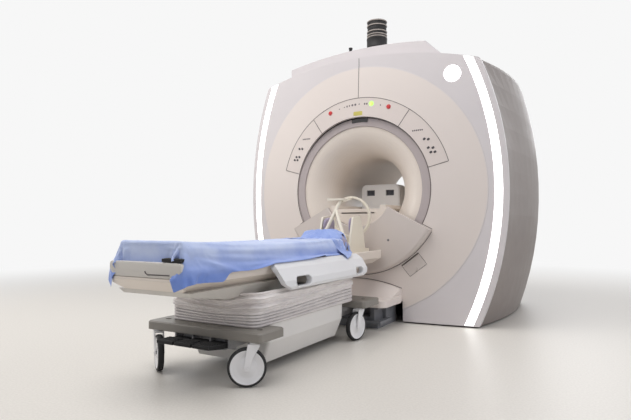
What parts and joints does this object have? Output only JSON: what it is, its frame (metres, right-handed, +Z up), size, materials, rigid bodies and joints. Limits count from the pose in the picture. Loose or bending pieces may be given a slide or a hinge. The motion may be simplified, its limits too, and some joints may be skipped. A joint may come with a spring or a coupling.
{
  "type": "MRI scanner with docked patient table",
  "caption": "Barrel-shaped magnet housing with a flared bore, lit edge strips and a docked wheeled table that rises on a bellows-covered lift.",
  "frame": {"origin": "on the floor under the isocentre, the centre of the four anchor holes in the magnet's feet", "axes": "+Z up; +Y runs from the patient table through the bore; +X is the right side seen from the table"},
  "size_m": [2.463, 4.022, 2.59],
  "materials": {
    "front_cover": "satin",
    "side_cover": "satin",
    "ring": "satin",
    "liner": "satin",
    "lamp": "lit",
    "dark_window": "glossy",
    "indicator": "lit",
    "stop_button": "glossy",
    "steel": "satin",
    "steel_frame": "satin",
    "coil": "matt",
    "hose": "matt",
    "machinery": "matt",
    "white_plastic": "satin",
    "white_metal": "satin",
    "port": "matt",
    "platform": "satin",
    "pedal": "matt",
    "wheel": "satin",
    "frame_paint": "satin",
    "mattress": "satin",
    "sheet": "matt",
    "coil_plastic": "satin",
    "pad": "matt",
    "bellows": "matt"
  },
  "bodies": {
    "magnet": {"front_cover_left": "front_cover", "front_cover_right": "front_cover", "control_panel_centre": "front_cover", "control_panel_left": "front_cover", "control_panel_right": "front_cover", "bore_ring": "ring", "front_funnel": "liner", "bore_tube": "liner", "rear_funnel": "liner", "light_strip_left": "lamp", "light_strip_right": "lamp", "round_lamp": "lamp", "laser_window": "dark_window", "indicator_lamp": "indicator", "side_cover_left": "side_cover", "side_cover_right": "side_cover", "rear_cover_left": "side_cover", "rear_cover_right": "side_cover", "top_cover": "front_cover", "cover_frame": "steel", "cryostat": "steel", "magnet_feet": "steel", "gradient_coil": "coil", "rf_body_coil": "coil", "vent_duct": "hose", "roof_fittings": "hose", "bridge": "liner", "dock_apron": "front_cover", "dock_housing": "front_cover", "dock_base": "machinery"},
    "table": {"table_base": "steel_frame", "base_skirt": "white_plastic", "head_platform": "platform", "foot_platform": "platform", "bellows": "bellows"},
    "table_top": {"table_frame": "frame_paint", "side_rail_left": "white_plastic", "side_rail_right": "white_plastic", "cradle": "liner", "mattress": "mattress", "sheet": "sheet", "head_coil": "coil_plastic", "head_pads": "pad"},
    "lift_stage": {"lift_stage": "steel"},
    "carriage": {"carriage": "white_plastic", "carriage_ports": "port"},
    "stop_button_left": {"stop_button_left": "stop_button"},
    "stop_button_right": {"stop_button_right": "stop_button"},
    "access_flap": {"access_flap": "front_cover"},
    "pedal_left": {"pedal_left": "pedal"},
    "pedal_middle": {"pedal_middle": "pedal"},
    "pedal_right": {"pedal_right": "pedal"},
    "fork_head_left": {"fork_head_left": "white_metal"},
    "wheel_head_left": {"wheel_head_left": "wheel"},
    "fork_head_right": {"fork_head_right": "white_metal"},
    "wheel_head_right": {"wheel_head_right": "wheel"},
    "fork_foot_left": {"fork_foot_left": "white_metal"},
    "wheel_foot_left": {"wheel_foot_left": "wheel"},
    "fork_foot_right": {"fork_foot_right": "white_metal"},
    "wheel_foot_right": {"wheel_foot_right": "wheel"}
  },
  "joints": [
    {"name": "table_roll", "type": "slide", "parent": "magnet", "child": "table", "axis": [0, -1, 0], "range_m": [0, 1.5]},
    {"name": "table_lift", "type": "slide", "parent": "table", "child": "table_top", "axis": [0, 0, 1], "range_m": [0, 0.43], "deforming": ["bellows"]},
    {"name": "lift_stage_slide", "type": "slide", "parent": "table", "child": "lift_stage", "axis": [0, 0, 1], "range_m": [0, 0.215]},
    {"name": "carriage_slide", "type": "slide", "parent": "magnet", "child": "carriage", "axis": [0, 1, 0], "range_m": [-0.35, 0.9]},
    {"name": "flap_hinge", "type": "hinge", "parent": "magnet", "child": "access_flap", "pos_m": [0.44081, -0.8725, 0.49578], "axis": [-0.788, 0, -0.6157], "range_deg": [0, 85]},
    {"name": "stop_press_left", "type": "slide", "parent": "magnet", "child": "stop_button_left", "axis": [0, 1, 0], "range_m": [0, 0.004], "stiffness_N_per_m": 500, "springref_m": -0.002},
    {"name": "stop_press_right", "type": "slide", "parent": "magnet", "child": "stop_button_right", "axis": [0, 1, 0], "range_m": [0, 0.004], "stiffness_N_per_m": 500, "springref_m": -0.002},
    {"name": "pedal_press_left", "type": "hinge", "parent": "table", "child": "pedal_left", "pos_m": [-0.118, -2.766, 0.181], "axis": [1, 0, 0], "range_deg": [0, 10], "stiffness_Nm_per_rad": 6, "springref_deg": -8.59},
    {"name": "pedal_press_middle", "type": "hinge", "parent": "table", "child": "pedal_middle", "pos_m": [0, -2.766, 0.181], "axis": [1, 0, 0], "range_deg": [0, 10], "stiffness_Nm_per_rad": 6, "springref_deg": -8.59},
    {"name": "pedal_press_right", "type": "hinge", "parent": "table", "child": "pedal_right", "pos_m": [0.118, -2.766, 0.181], "axis": [1, 0, 0], "range_deg": [0, 10], "stiffness_Nm_per_rad": 6, "springref_deg": -8.59},
    {"name": "swivel_head_left", "type": "hinge", "parent": "table", "child": "fork_head_left", "pos_m": [-0.32, -1.57, 0.215], "axis": [0, 0, 1], "continuous": true},
    {"name": "spin_head_left", "type": "hinge", "parent": "fork_head_left", "child": "wheel_head_left", "pos_m": [-0.31513, -1.60466, 0.095], "axis": [0.9903, 0.1392, 0], "continuous": true},
    {"name": "swivel_head_right", "type": "hinge", "parent": "table", "child": "fork_head_right", "pos_m": [0.32, -1.57, 0.215], "axis": [0, 0, 1], "continuous": true},
    {"name": "spin_head_right", "type": "hinge", "parent": "fork_head_right", "child": "wheel_head_right", "pos_m": [0.31272, -1.60424, 0.095], "axis": [0.9781, -0.2079, 0], "continuous": true},
    {"name": "swivel_foot_left", "type": "hinge", "parent": "table", "child": "fork_foot_left", "pos_m": [-0.32, -2.76, 0.215], "axis": [0, 0, 1], "continuous": true},
    {"name": "spin_foot_left", "type": "hinge", "parent": "fork_foot_left", "child": "wheel_foot_left", "pos_m": [-0.29205, -2.78106, 0.095], "axis": [0.6018, 0.7986, 0], "continuous": true},
    {"name": "swivel_foot_right", "type": "hinge", "parent": "table", "child": "fork_foot_right", "pos_m": [0.32, -2.76, 0.215], "axis": [0, 0, 1], "continuous": true},
    {"name": "spin_foot_right", "type": "hinge", "parent": "fork_foot_right", "child": "wheel_foot_right", "pos_m": [0.29205, -2.78106, 0.095], "axis": [0.6018, -0.7986, 0], "continuous": true}
  ],
  "couplings": [
    {"joint": "lift_stage_slide", "follows": "table_lift", "ratio": 0.5}
  ]
}
